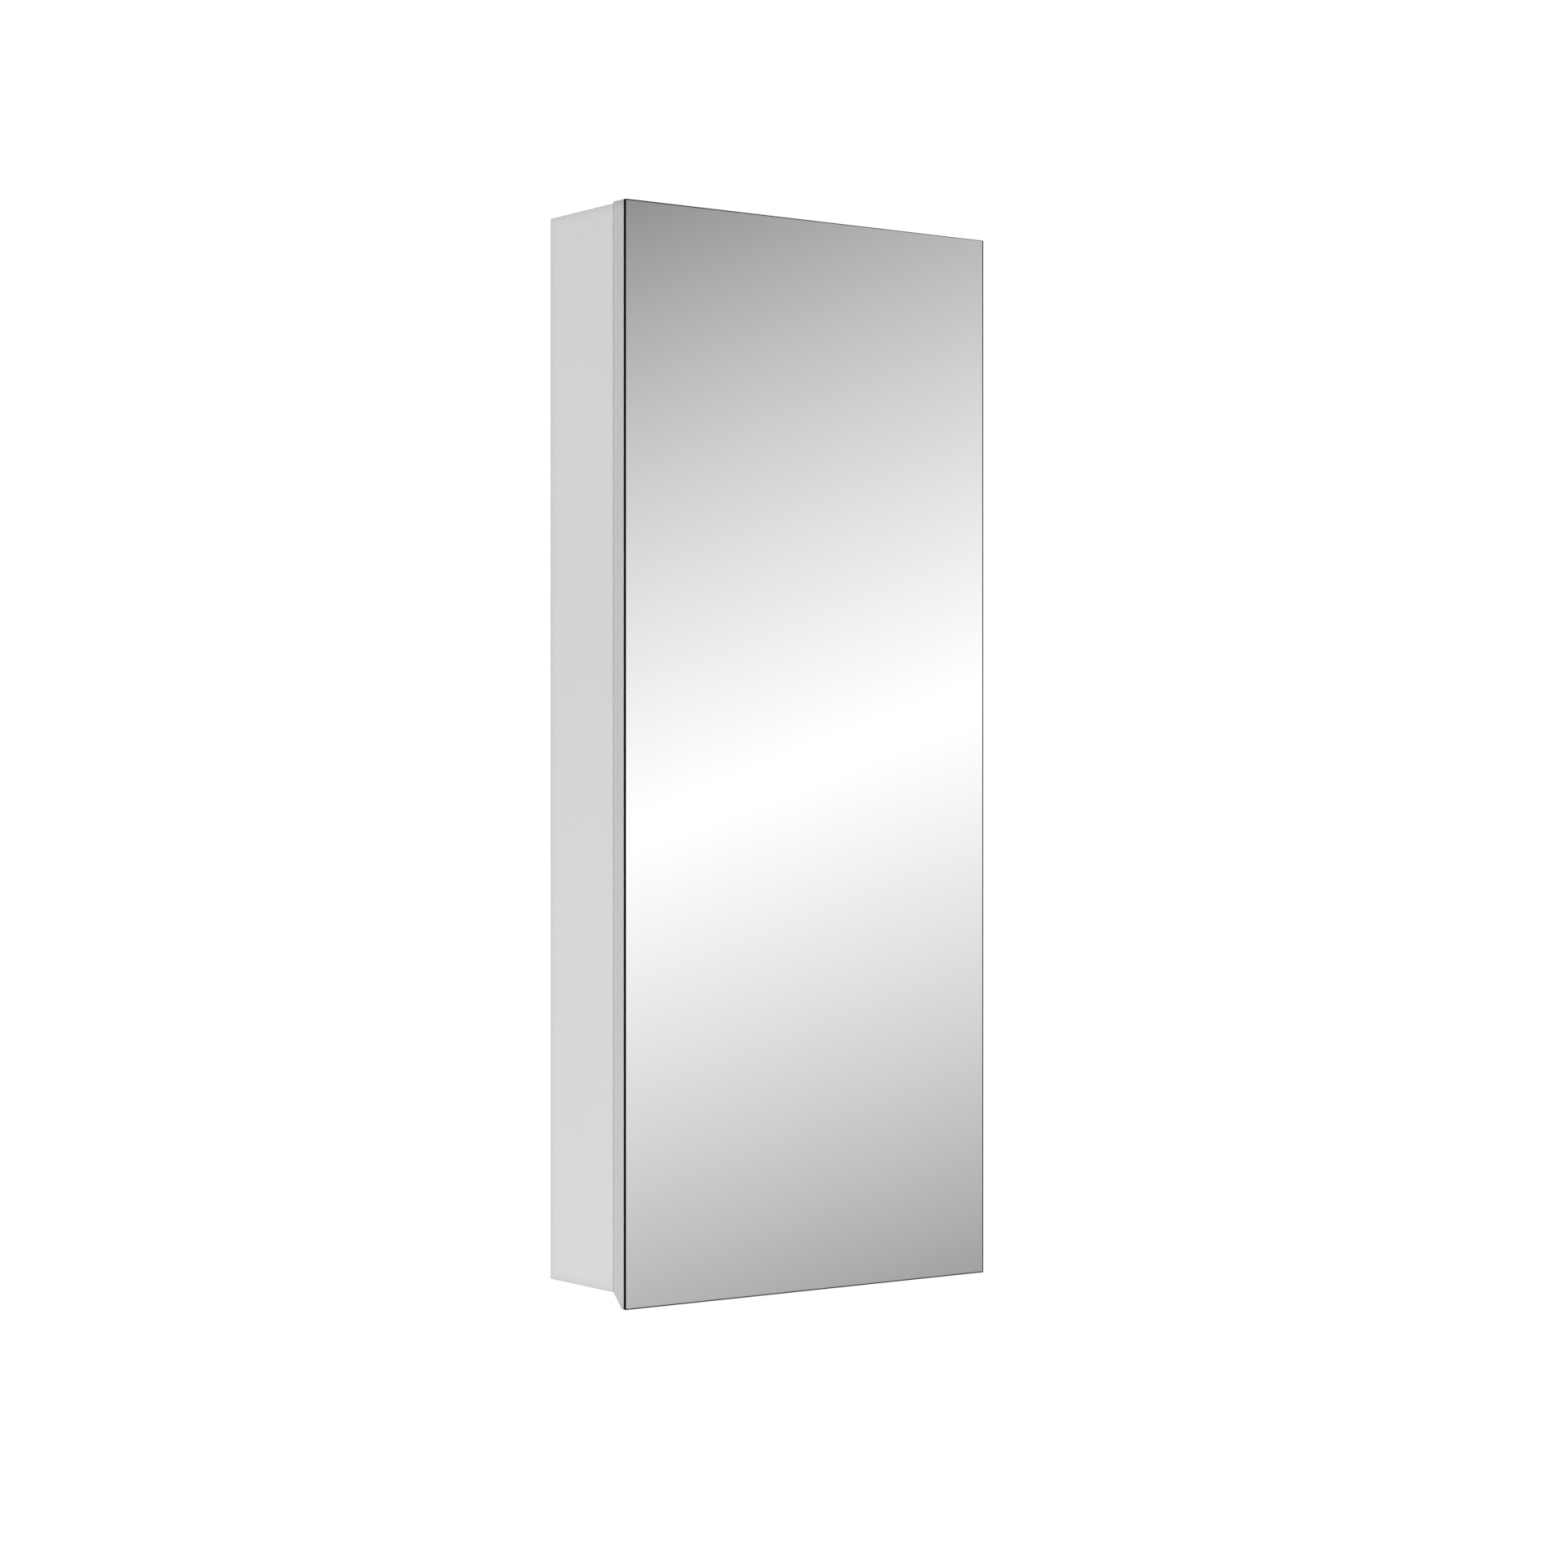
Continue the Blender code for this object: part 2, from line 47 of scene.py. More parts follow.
# ---------------------------------------------------------------------------------------------
# Casing boards. Five lengths of particle board faced with white melamine and edged in ABS, drilled
# for the shelf pegs and cam bolts. The chips show in the holes and rabbets, and on the rear edge of
# the four outer boards, which stands against the wall and is left as it was sawn.
WHITE_MELAMINE = (0.775, 0.775, 0.775)
MELAMINE_ROUGHNESS = 0.44
CORE_DEEP = (0.235, 0.150, 0.078)
CORE_PALE = (0.560, 0.410, 0.245)
FACING_T = 0.0004
EDGING_T = 0.0008
SEAM_HALF_W = 0.00007
# Painted shade: how far in from a board's ends and edges its facing is painted darker.
END_SHADE_REACH = 0.0090
CHIPS_PER_M = 620.0
PEEL_PER_M = 1250.0
# Painted shade: how much darker the facing is painted toward an end, from the end inward.
CASING_END_SHADE = [(0.0, 0.80), (0.09, 0.90), (0.40, 0.962), (1.0, 1.0)]  # how dull the facing is near an end
FAR_BACK = Vector((0, 1.0, 0))  # moves a front or rear face off, so that it no longer counts as one


def new_finish(name):
    material = bpy.data.materials.new(name)
    material.use_nodes = True
    return material, material.node_tree, material.node_tree.nodes["Principled BSDF"]


def wired(tree, kind, links=None, **settings):
    """Add a node, set its options, and give each input a value or a link."""
    made = tree.nodes.new("ShaderNode" + kind)
    for key, value in settings.items():
        setattr(made, key, value)
    for socket, source in (links or {}).items():
        if isinstance(source, bpy.types.NodeSocket):
            tree.links.new(source, made.inputs[socket])
        else:
            made.inputs[socket].default_value = source
    return made


def place_of(tree):
    return wired(tree, "TexCoord").outputs["Object"]


def noise(tree, where, scale, detail=2.0, roughness=0.5):
    links = {"Vector": where, "Scale": scale, "Detail": detail, "Roughness": roughness}
    return wired(tree, "TexNoise", links).outputs["Fac"]


def ramp(tree, factor, stops):
    made = wired(tree, "ValToRGB", {"Fac": factor})
    while len(made.color_ramp.elements) < len(stops):
        made.color_ramp.elements.new(0.5)
    for element, (position, colour) in zip(made.color_ramp.elements, stops):
        element.position = position
        element.color = (*colour, 1.0) if isinstance(colour, tuple) else (colour, colour, colour, 1.0)
    return made.outputs["Color"]


def blend_colours(tree, factor, first, second, mode="MIX"):
    made = wired(tree, "Mix", {0: factor}, data_type="RGBA", blend_type=mode)
    for socket, source in ((6, first), (7, second)):
        if isinstance(source, bpy.types.NodeSocket):
            tree.links.new(source, made.inputs[socket])
        else:
            made.inputs[socket].default_value = (*source, 1.0)
    return made.outputs[2]


def maths(tree, operation, first, second=0.0):
    return wired(tree, "Math", {0: first, 1: second}, operation=operation).outputs[0]


def bumped(tree, shader, height, distance, strength=1.0):
    links = {"Height": height, "Distance": distance, "Strength": strength}
    made = wired(tree, "Bump", links)
    tree.links.new(made.outputs["Normal"], shader.inputs["Normal"])


def depth_inside(tree, where, low, high):
    """How far below the board's nearest face a point is, and how far from the next nearest."""
    middle = wired(tree, "VectorMath", {0: where, 1: (low + high) / 2}, operation="SUBTRACT")
    folded = wired(tree, "VectorMath", {0: middle.outputs[0]}, operation="ABSOLUTE")
    depths = wired(tree, "VectorMath", {0: (high - low) / 2, 1: folded.outputs[0]}, operation="SUBTRACT")
    across, through, up = wired(tree, "SeparateXYZ", {0: depths.outputs[0]}).outputs
    nearer = maths(tree, "MINIMUM", across, through)
    farther = maths(tree, "MAXIMUM", across, through)
    next_nearest = maths(tree, "MAXIMUM", nearer, maths(tree, "MINIMUM", farther, up))
    return maths(tree, "MINIMUM", nearer, up), next_nearest


def faced_board(name, facing, low, high, roughness, end_shade_steps, slanted_face=None, sawn_rear=False):
    """Melamine over chips: the facing on every outer face, the core wherever the board is cut, and painted
    shade that darkens the facing toward the board's ends and edges.
    """
    material, tree, shader = new_finish(name)
    where = place_of(tree)
    depth, to_edge = depth_inside(tree, where, low, high)
    _, to_end = depth_inside(tree, where, low - FAR_BACK, high if sawn_rear else high + FAR_BACK)
    if sawn_rear:
        depth, _ = depth_inside(tree, where, low, high + FAR_BACK)
    if slanted_face:
        outward, offset = slanted_face
        along = wired(tree, "VectorMath", {0: where, 1: outward}, operation="DOT_PRODUCT")
        depth = maths(tree, "MINIMUM", depth, maths(tree, "SUBTRACT", offset, along.outputs["Value"]))
    cut = maths(tree, "GREATER_THAN", depth, FACING_T)
    chips = wired(tree, "TexVoronoi", {"Vector": where, "Scale": CHIPS_PER_M, "Randomness": 1.0})
    grey = wired(tree, "RGBToBW", {0: chips.outputs["Color"]}).outputs[0]
    core = ramp(tree, grey, [(0.12, CORE_DEEP), (0.72, CORE_PALE)])
    pale = tuple(channel * 1.01 for channel in facing)
    dull = tuple(channel * 0.988 for channel in facing)
    skin = ramp(tree, noise(tree, where, 5.0, 3.0), [(0.35, dull), (0.65, pale)])
    # Painted shade: the facing is painted darker toward the board's ends and edges.
    end_shade_share = maths(tree, "DIVIDE", to_end, END_SHADE_REACH)
    painted_end_shade = ramp(tree, end_shade_share, end_shade_steps)
    skin = blend_colours(tree, 1.0, skin, painted_end_shade, "MULTIPLY")
    seam = maths(tree, "COMPARE", to_edge, EDGING_T)
    seam.node.inputs[2].default_value = SEAM_HALF_W
    skin = blend_colours(tree, maths(tree, "MULTIPLY", seam, 0.14), skin, (0.30, 0.27, 0.23))
    tree.links.new(blend_colours(tree, cut, skin, core), shader.inputs["Base Color"])
    satin = noise(tree, where, 38.0, 4.0, 0.6)
    sheen = ramp(tree, satin, [(0.3, roughness - 0.035), (0.7, roughness + 0.035)])
    tree.links.new(maths(tree, "ADD", sheen, maths(tree, "MULTIPLY", cut, 0.45)), shader.inputs["Roughness"])
    peel = noise(tree, where, PEEL_PER_M, 2.0, 0.55)
    relief = maths(tree, "ADD", maths(tree, "MULTIPLY", peel, 0.05), maths(tree, "MULTIPLY", cut, grey))
    bumped(tree, shader, relief, 0.00028)
    shader.inputs["Specular IOR Level"].default_value = 0.4
    return material


def refinish(node, material):
    nodes[node].data.materials.clear()
    nodes[node].data.materials.append(material)


for board in ("side_panel_left", "side_panel_right", "top_panel", "bottom_panel"):
    low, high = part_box(board)
    melamine = faced_board(
        f"{board}_melamine", WHITE_MELAMINE, low, high, MELAMINE_ROUGHNESS, CASING_END_SHADE, sawn_rear=True
    )
    refinish(board, melamine)
low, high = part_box("hanging_rail")
rail_melamine = faced_board("rail_melamine", WHITE_MELAMINE, low, high, MELAMINE_ROUGHNESS, CASING_END_SHADE)
refinish("hanging_rail", rail_melamine)

# ---------------------------------------------------------------------------------------------
# Back panel. Thin hardboard, white-painted on the face seen inside and raw brown on the face
# against the wall, let into the rabbets of the four boards.
HARDBOARD_BROWN = (0.245, 0.150, 0.082)


def hardboard():
    material, tree, shader = new_finish("painted_hardboard")
    where = place_of(tree)
    low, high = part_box("back_panel")
    parts = wired(tree, "SeparateXYZ", {0: where})
    painted = maths(tree, "LESS_THAN", parts.outputs[1], low.y + FACING_T / 2)
    fibres = noise(tree, where, 260.0, 6.0, 0.7)
    streaks = noise(tree, where, 22.0, 3.0)
    dark = tuple(channel * 0.72 for channel in HARDBOARD_BROWN)
    light = tuple(channel * 1.35 for channel in HARDBOARD_BROWN)
    raw = ramp(tree, fibres, [(0.3, dark), (0.72, light)])
    raw = blend_colours(tree, 0.5, raw, ramp(tree, streaks, [(0.3, 0.72), (0.7, 1.0)]), "MULTIPLY")
    paint = ramp(tree, streaks, [(0.3, (0.735, 0.735, 0.730)), (0.7, (0.760, 0.760, 0.756))])
    tree.links.new(blend_colours(tree, painted, raw, paint), shader.inputs["Base Color"])
    roughness = maths(tree, "SUBTRACT", 0.82, maths(tree, "MULTIPLY", painted, 0.30))
    tree.links.new(roughness, shader.inputs["Roughness"])
    bumped(tree, shader, fibres, 0.00012, 0.6)
    return material


refinish("back_panel", hardboard())

# ---------------------------------------------------------------------------------------------
# Cam fittings. Plated steel bolts screwed into the side panels, each drawn up by a die-cast
# zinc cam turned with a cross-head driver in the top or bottom panel.
SMOOTH_ANGLE = math.radians(32)
DRIVE_TAPER = 0.55  # how far a cross-head recess narrows toward its bottom


def metal(name, colour, roughness, grain=0.0, grain_scale=300.0):
    """Bare or plated metal, a little uneven in colour and gloss."""
    material, tree, shader = new_finish(name)
    where = place_of(tree)
    patches = noise(tree, where, 90.0, 4.0, 0.6)
    dull = tuple(channel * 0.88 for channel in colour)
    tree.links.new(ramp(tree, patches, [(0.3, dull), (0.7, colour)]), shader.inputs["Base Color"])
    shader.inputs["Metallic"].default_value = 1.0
    gloss = ramp(tree, patches, [(0.3, roughness + 0.07), (0.7, roughness - 0.03)])
    tree.links.new(gloss, shader.inputs["Roughness"])
    if grain:
        bumped(tree, shader, noise(tree, where, grain_scale, 3.0, 0.6), grain)
    return material


ZINC = metal("die_cast_zinc", (0.52, 0.53, 0.54), 0.42, 0.00006, 900.0)
PLATED = metal("zinc_plated_steel", (0.66, 0.66, 0.66), 0.27, 0.00001, 1500.0)


def deselect():
    if bpy.context.mode != "OBJECT":
        bpy.ops.object.mode_set(mode="OBJECT")
    bpy.ops.object.select_all(action="DESELECT")


def ring_stack(name, profile, sides=40):
    """A round piece raised ring by ring: (radius, height) from its closed foot to its closed top."""
    deselect()
    radius, height = profile[0]
    foot = (0, 0, height)
    bpy.ops.mesh.primitive_circle_add(vertices=sides, radius=radius, fill_type="NGON", location=foot)
    piece = bpy.context.object
    piece.name = name
    bpy.ops.object.mode_set(mode="EDIT")
    bpy.ops.mesh.select_all(action="SELECT")
    for new_radius, new_height in profile[1:]:
        step = {"value": (0, 0, new_height - height)}
        bpy.ops.mesh.extrude_region_move(TRANSFORM_OT_translate=step)
        scale = new_radius / radius
        bpy.ops.transform.resize(value=(scale, scale, 1), center_override=(0, 0, new_height))
        radius, height = new_radius, new_height
    bpy.ops.mesh.select_all(action="SELECT")
    bpy.ops.mesh.normals_make_consistent(inside=False)
    bpy.ops.object.mode_set(mode="OBJECT")
    bpy.ops.object.transform_apply(location=True, rotation=True, scale=True)
    bpy.ops.object.shade_smooth_by_angle(angle=SMOOTH_ANGLE)
    return piece


def block_at(name, low, high):
    """A box at its size and place, with its place in its mesh."""
    deselect()
    low = Vector(low)
    high = Vector(high)
    bpy.ops.mesh.primitive_cube_add(size=1.0, location=(low + high) / 2)
    piece = bpy.context.object
    piece.name = name
    piece.scale = high - low
    bpy.ops.object.transform_apply(location=True, rotation=True, scale=True)
    return piece


def cut_away(piece, tools):
    """Take each tool out of the piece, and delete the tool."""
    deselect()
    bpy.context.view_layer.objects.active = piece
    for tool in tools:
        slot = piece.modifiers.new("cut", "BOOLEAN")
        slot.object = tool
        slot.operation = "DIFFERENCE"
        bpy.ops.object.modifier_apply(modifier=slot.name)
        bpy.data.objects.remove(tool)
    bpy.ops.object.shade_smooth_by_angle(angle=SMOOTH_ANGLE)


def cross_tools(reach, width, deep, top=0.0):
    """Two crossed tapering blades that cut a cross-head recess downward from height top."""
    blades = []
    for across in (Vector((reach, width, 0)), Vector((width, reach, 0))):
        blade = block_at("blade", (-across.x, -across.y, top - deep), (across.x, across.y, top + deep))
        for vert in blade.data.vertices:
            if vert.co.z < top:
                vert.co.x *= DRIVE_TAPER
                vert.co.y *= DRIVE_TAPER
        blades.append(blade)
    return blades


def round_over(piece, width, segments=3):
    """Soften every sharp edge and make the piece's shading match."""
    deselect()
    bpy.context.view_layer.objects.active = piece
    slot = piece.modifiers.new("round", "BEVEL")
    slot.width = width
    slot.segments = segments
    slot.limit_method = "ANGLE"
    slot.angle_limit = SMOOTH_ANGLE
    bpy.ops.object.modifier_apply(modifier=slot.name)
    bpy.ops.object.shade_smooth_by_angle(angle=SMOOTH_ANGLE)


def set_copies(model, material, body, copies):
    """Place a copy of the model, with its own mesh, for each (name, matrix, CAD node) and drop the model."""
    model.data.materials.clear()
    model.data.materials.append(material)
    made = []
    for name, matrix, node in copies:
        copy = bpy.data.objects.new(name, model.data.copy())
        copy.data.transform(matrix)
        bpy.context.scene.collection.objects.link(copy)
        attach(copy, body)
        if node:
            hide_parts(node)
        made.append(copy)
    bpy.data.objects.remove(model)
    return made


def standing(point, outward):
    """A place at a point, with +Z turned to point outward."""
    turn = Vector((0, 0, 1)).rotation_difference(Vector(outward))
    return Matrix.Translation(point) @ turn.to_matrix().to_4x4()


def middle_of(node):
    low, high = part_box(node)
    return (low + high) / 2


SIDES = {"left": -1, "right": 1}
ENDS = {"bottom": -1, "top": 1}
ROWS = ("rear", "front")

cam_low, cam_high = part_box("cam_lock_top_left_front")
cam_r = (cam_high.x - cam_low.x) / 2
cam_t = cam_high.z - cam_low.z
cam_rings = [
    (cam_r - 0.0006, -cam_t),
    (cam_r, -cam_t + 0.0006),
    (cam_r, -0.0035),
    (cam_r - 0.0005, -0.0032),
    (cam_r - 0.0005, -0.0020),
    (cam_r, -0.0017),
    (cam_r, -0.0005),
    (cam_r - 0.0004, 0.0),
    (cam_r - 0.0015, 0.0),
    (cam_r - 0.0018, -0.0004),
    (0.0030, -0.0004),
]
cam = ring_stack("cam_model", cam_rings, 48)
cut_away(cam, cross_tools(reach=0.0034, width=0.0006, deep=0.0028, top=-0.0004))
pointer = block_at("pointer", (0.0036, -0.0004, -0.0009), (0.0052, 0.0004, 0.0005))
mouth = block_at("mouth", (0.0, -0.004, -0.0110), (0.0090, 0.004, -0.0038))
cut_away(cam, [pointer, mouth])
places = []
for end, up in ENDS.items():
    for side, out in SIDES.items():
        for row in ROWS:
            node = f"cam_lock_{end}_{side}_{row}"
            low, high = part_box(node)
            face = Vector(((low.x + high.x) / 2, (low.y + high.y) / 2, high.z if up > 0 else low.z))
            facing = Matrix.Rotation(0 if out * up > 0 else math.pi, 4, "Z")
            turned_over = Matrix.Rotation(0 if up > 0 else math.pi, 4, "Y")
            places.append((f"cam_{end}_{side}_{row}", Matrix.Translation(face) @ turned_over @ facing, node))
            refinish(f"cam_bolt_{end}_{side}_{row}", PLATED)
set_copies(cam, ZINC, "casing", places)

# ---------------------------------------------------------------------------------------------
# Back pins. Flat-headed steel pins, hammered through the back panel into the rabbets all round,
# closer together along the short edges than along the long ones.
PIN_HEAD_R = 0.0021
PIN_FROM_EDGE = 0.0042
PINS_UP = 7
PINS_ACROSS = 4

back_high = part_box("back_panel")[1]
back_pin_rings = [
    (0.0006, -0.0045),
    (0.0007, -0.0006),
    (PIN_HEAD_R, -0.0002),
    (PIN_HEAD_R, 0.0),
    (PIN_HEAD_R - 0.0003, 0.00012),
    (0.0004, 0.00012),
]
pin = ring_stack("back_pin_model", back_pin_rings, 20)
pin_x = back_high.x - PIN_FROM_EDGE
pin_z = back_high.z - PIN_FROM_EDGE
spots = []
for step in range(PINS_UP):
    height = pin_z * (2 * step / (PINS_UP - 1) - 1)
    spots += [(-pin_x, height), (pin_x, height)]
for step in range(1, PINS_ACROSS):
    across = pin_x * (2 * step / PINS_ACROSS - 1)
    spots += [(across, -pin_z), (across, pin_z)]
places = [
    (f"back_pin_{number:02d}", standing((x, back_high.y, z), (0, 1, 0)), None)
    for number, (x, z) in enumerate(spots, 1)
]
set_copies(pin, PLATED, "casing", places)

# ---------------------------------------------------------------------------------------------
# Shelf pegs. Nickel-plated steel, 5 mm thick, pushed by hand into rows of drilled holes, with a
# collar that meets the panel and a plain stub for the glass to lie on.
NICKEL = metal("bright_nickel", (0.74, 0.71, 0.66), 0.16, 0.000005, 1500.0)
PEG_COUNT = 3

peg_low, peg_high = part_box("shelf_peg_1_left_front")
peg_r = (peg_high.z - peg_low.z) / 2
peg_inner = peg_high.x
panel_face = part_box("side_panel_left")[1].x
shank = panel_face - peg_low.x
stub = peg_inner - panel_face
peg_rings = [
    (0.0019, -shank),
    (0.0025, -shank + 0.0007),
    (0.0025, 0.0003),
    (peg_r - 0.0003, 0.0003),
    (peg_r, 0.0006),
    (peg_r, 0.0012),
    (peg_r - 0.0002, 0.0014),
    (peg_r - 0.0002, stub - 0.0011),
    (peg_r - 0.0005, stub - 0.0004),
    (peg_r - 0.0012, stub),
    (0.0003, stub),
]
peg = ring_stack("peg_model", peg_rings, 36)
places = []
for number in range(1, PEG_COUNT + 1):
    for side, out in SIDES.items():
        for row in ROWS:
            node = f"shelf_peg_{number}_{side}_{row}"
            centre = middle_of(node)
            foot = Vector((out * abs(panel_face), centre.y, centre.z))
            places.append((f"peg_{number}_{side}_{row}", standing(foot, (-out, 0, 0)), node))
set_copies(peg, NICKEL, "casing", places)

# ---------------------------------------------------------------------------------------------
# Shelves. Float glass 5 mm thick, cut to length, with the long and short edges ground round and
# polished, so that they show the green of the glass. They lie loose on their pegs.
EDGE_GREEN = (0.10, 0.33, 0.26)
EDGE_BRIGHT = (0.24, 0.52, 0.43)
SHELF_EDGE_R = 0.0016


def clear_glass():
    material, tree, shader = new_finish("float_glass")
    where = place_of(tree)
    shader.inputs["Base Color"].default_value = (0.95, 0.985, 0.97, 1.0)
    shader.inputs["Transmission Weight"].default_value = 1.0
    shader.inputs["IOR"].default_value = 1.5
    smears = ramp(tree, noise(tree, where, 14.0, 3.0), [(0.45, 0.0), (0.75, 0.035)])
    tree.links.new(smears, shader.inputs["Roughness"])
    return material


def green_edge():
    material, tree, shader = new_finish("polished_glass_edge")
    where = place_of(tree)
    bands = noise(tree, where, 60.0, 2.0)
    tree.links.new(ramp(tree, bands, [(0.3, EDGE_GREEN), (0.7, EDGE_BRIGHT)]), shader.inputs["Base Color"])
    shader.inputs["Roughness"].default_value = 0.06
    shader.inputs["Transmission Weight"].default_value = 0.55
    shader.inputs["IOR"].default_value = 1.5
    return material


CLEAR_GLASS = clear_glass()
GREEN_EDGE = green_edge()
for number in range(1, PEG_COUNT + 1):
    node = f"glass_shelf_{number}"
    low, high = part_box(node)
    shelf = block_at(f"shelf_pane_{number}", low, high)
    round_over(shelf, SHELF_EDGE_R, 4)
    shelf.data.materials.append(CLEAR_GLASS)
    shelf.data.materials.append(GREEN_EDGE)
    for face in shelf.data.polygons:
        face.material_index = 0 if abs(face.normal.z) > 0.999 else 1
    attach(shelf, "casing")
    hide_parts(node)

# ---------------------------------------------------------------------------------------------
# Hinge plates. Pressed from 1.5 mm plated steel, one on the top panel and one under the bottom
# panel, each with a nose that reaches forward over the end of the door to carry the pivot pin.
plate_low, plate_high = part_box("hinge_plate_top")
pin_low, pin_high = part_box("hinge_pin_top")
PIVOT = Vector(((pin_low.x + pin_high.x) / 2, (pin_low.y + pin_high.y) / 2, 0))
plate_t = plate_high.z - plate_low.z
nose_r = plate_high.x - PIVOT.x
screw_places = {row: middle_of(f"plate_screw_top_{row}") for row in ROWS}
casing_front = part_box("side_panel_right")[0].y
CORNER_REACH = 0.001  # how close a vertical edge has to be to the leaf's rear or inner side
CORNER_R = 0.003
PLATE_EDGE_R = 0.00025
PLATE_HOLE_SPARE = 0.0004
ARM_OVERLAP = 0.004
RIVET_HOLE_R = 0.0014
SCREW_HEAD_R = 0.0032
SCREW_R = 0.0015
HEAD_SPARE = 0.0002


def plate_model():
    """The plate lying on z = 0 with its outer face up, countersunk twice and bored for the rivet."""
    leaf_far = (plate_high.x, plate_high.y, plate_t)
    leaf = block_at("hinge_plate_model", (plate_low.x, casing_front, 0), leaf_far)
    bpy.ops.object.mode_set(mode="EDIT")
    mesh = bmesh.from_edit_mesh(leaf.data)
    corners = [e for e in mesh.edges if abs(e.verts[0].co.z - e.verts[1].co.z) > plate_t / 2]
    for edge in corners:
        foot = edge.verts[0].co
        edge.select = foot.y > casing_front + CORNER_REACH or foot.x < plate_low.x + CORNER_REACH
    for edge in mesh.edges:
        if edge not in corners:
            edge.select = False
    bmesh.update_edit_mesh(leaf.data)
    bpy.ops.mesh.select_mode(type="EDGE")
    bpy.ops.mesh.bevel(offset=CORNER_R, segments=6, affect="EDGES")
    bpy.ops.object.mode_set(mode="OBJECT")
    arm_far = (PIVOT.x + nose_r, casing_front + ARM_OVERLAP, plate_t)
    arm = block_at("arm", (PIVOT.x - nose_r, PIVOT.y, 0), arm_far)
    deselect()
    centre = (PIVOT.x, PIVOT.y, plate_t / 2)
    bpy.ops.mesh.primitive_cylinder_add(vertices=48, radius=nose_r, depth=plate_t, location=centre)
    tip = bpy.context.object
    bpy.ops.object.transform_apply(location=True, rotation=True, scale=True)
    for part in (arm, tip):
        join = leaf.modifiers.new("join", "BOOLEAN")
        join.operation = "UNION"
        join.object = part
        bpy.context.view_layer.objects.active = leaf
        bpy.ops.object.modifier_apply(modifier=join.name)
        bpy.data.objects.remove(part)
    return leaf


def countersink_tool(point, head_r, hole_r, slant, through):
    """A hole with a conical mouth at a point, its mouth facing up."""
    rings = [(hole_r, -through), (hole_r, -slant), (head_r, 0.0), (head_r * 1.05, 0.0004)]
    tool = ring_stack("countersink", rings, 40)
    tool.data.transform(Matrix.Translation(point))
    return tool


plate = plate_model()
tools = []
for place in screw_places.values():
    mouth = Vector((place.x, place.y, plate_t))
    hole_r = SCREW_R + PLATE_HOLE_SPARE
    tools.append(countersink_tool(mouth, SCREW_HEAD_R + HEAD_SPARE, hole_r, slant=0.0014, through=0.004))
deselect()
rivet_place = (PIVOT.x, PIVOT.y, 0)
bpy.ops.mesh.primitive_cylinder_add(vertices=32, radius=RIVET_HOLE_R, depth=0.01, location=rivet_place)
rivet_hole = bpy.context.object
bpy.ops.object.transform_apply(location=True, rotation=True, scale=True)
cut_away(plate, [*tools, rivet_hole])
round_over(plate, PLATE_EDGE_R, 2)
upper = Matrix.Translation((0, 0, plate_low.z))
lower = Matrix.Translation((0, 0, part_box("hinge_plate_bottom")[1].z)) @ Matrix.Scale(-1, 4, (0, 0, 1))
copies = set_copies(
    plate,
    PLATED,
    "casing",
    [("pivot_plate_top", upper, "hinge_plate_top"), ("pivot_plate_bottom", lower, "hinge_plate_bottom")],
)
copies[1].data.flip_normals()

# ---------------------------------------------------------------------------------------------
# Pivot pins. Turned steel, riveted into the nose of each plate, with a nylon thrust washer at the
# bottom that carries the weight of the door.
RIVET_HEIGHT = 0.0006
for end, up in ENDS.items():
    node = f"hinge_pin_{end}"
    low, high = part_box(node)
    length = high.z - low.z
    pin_rings = [
        (0.0009, -length),
        (0.0016, -length + 0.0008),
        (0.0016, -plate_t - 0.0003),
        (0.0013, -plate_t - 0.0003),
        (0.0013, 0.0),
        (0.0019, 0.00002),
        (0.0018, 0.0003),
        (0.0012, 0.0005),
        (0.0003, RIVET_HEIGHT),
    ]
    pin = ring_stack("pin_model", pin_rings, 32)
    outer = Vector((PIVOT.x, PIVOT.y, high.z if up > 0 else low.z))
    places = [(f"pivot_pin_{end}", standing(outer, (0, 0, up)), node)]
    set_copies(pin, PLATED, "casing", places)


def moulded(name, colour, roughness, clarity=0.0):
    """Moulded plastic with a faint tool texture."""
    material, tree, shader = new_finish(name)
    where = place_of(tree)
    shade = noise(tree, where, 120.0, 3.0)
    dull = tuple(channel * 0.95 for channel in colour)
    tree.links.new(ramp(tree, shade, [(0.3, dull), (0.7, colour)]), shader.inputs["Base Color"])
    shader.inputs["Roughness"].default_value = roughness
    shader.inputs["Transmission Weight"].default_value = clarity
    bumped(tree, shader, noise(tree, where, 2500.0, 2.0), 0.00002)
    return material


NYLON = moulded("white_nylon", (0.78, 0.78, 0.75), 0.42)
refinish("thrust_washer", NYLON)

# ---------------------------------------------------------------------------------------------
# Wood screws. Plated, countersunk, cross-head: two through each hinge plate, and one that holds
# each pivot block in the end of the door.
REAR_SCREW_TURN = math.radians(20)
FRONT_SCREW_TURN = math.radians(65)
BLOCK_SCREW_TURN = math.radians(35)
screw_rings = [
    (0.0002, -0.0125),
    (0.0011, -0.0105),
    (0.0014, -0.0095),
    (0.0014, -0.0030),
    (SCREW_R, -0.0018),
    (SCREW_HEAD_R - 0.0002, -0.0003),
    (SCREW_HEAD_R, -0.0001),
    (SCREW_HEAD_R - 0.0001, 0.0),
    (0.0026, 0.00005),
    (0.0004, 0.0001),
]
screw = ring_stack("screw_model", screw_rings, 40)
cut_away(screw, cross_tools(reach=0.0019, width=0.00042, deep=0.0016))
spare = bpy.data.objects.new("screw_model_door", screw.data.copy())
bpy.context.scene.collection.objects.link(spare)
places = []
